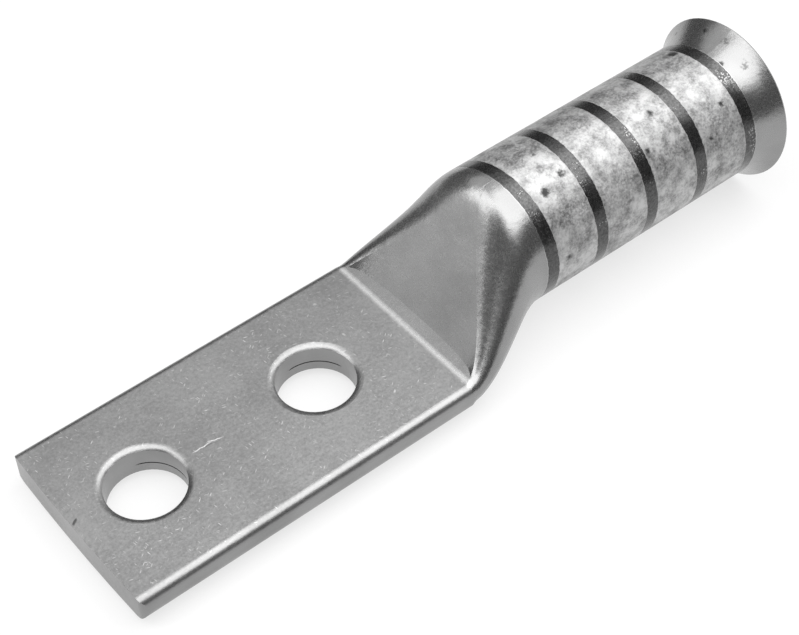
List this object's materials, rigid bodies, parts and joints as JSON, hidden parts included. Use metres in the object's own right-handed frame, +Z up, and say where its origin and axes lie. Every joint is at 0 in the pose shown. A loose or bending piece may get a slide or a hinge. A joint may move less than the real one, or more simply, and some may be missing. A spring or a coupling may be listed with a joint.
{
  "type": "compression cable lug",
  "caption": "Compression cable lug pressed from one round tube: a flat tongue with stud holes, a ramp and a round barrel with a belled mouth.",
  "frame": {"origin": "midway between the two stud holes, on the tongue's underside", "axes": "+X along the lug from the tongue's tip to the barrel's mouth, +Z up through the tongue"},
  "size_m": [0.1062, 0.0284, 0.0236],
  "materials": {
    "tinned_copper": "tin-plated copper, semi-bright, with dark ink bands round the barrel"
  },
  "bodies": {
    "root": {"lug_body": "tinned_copper"}
  },
  "joints": []
}
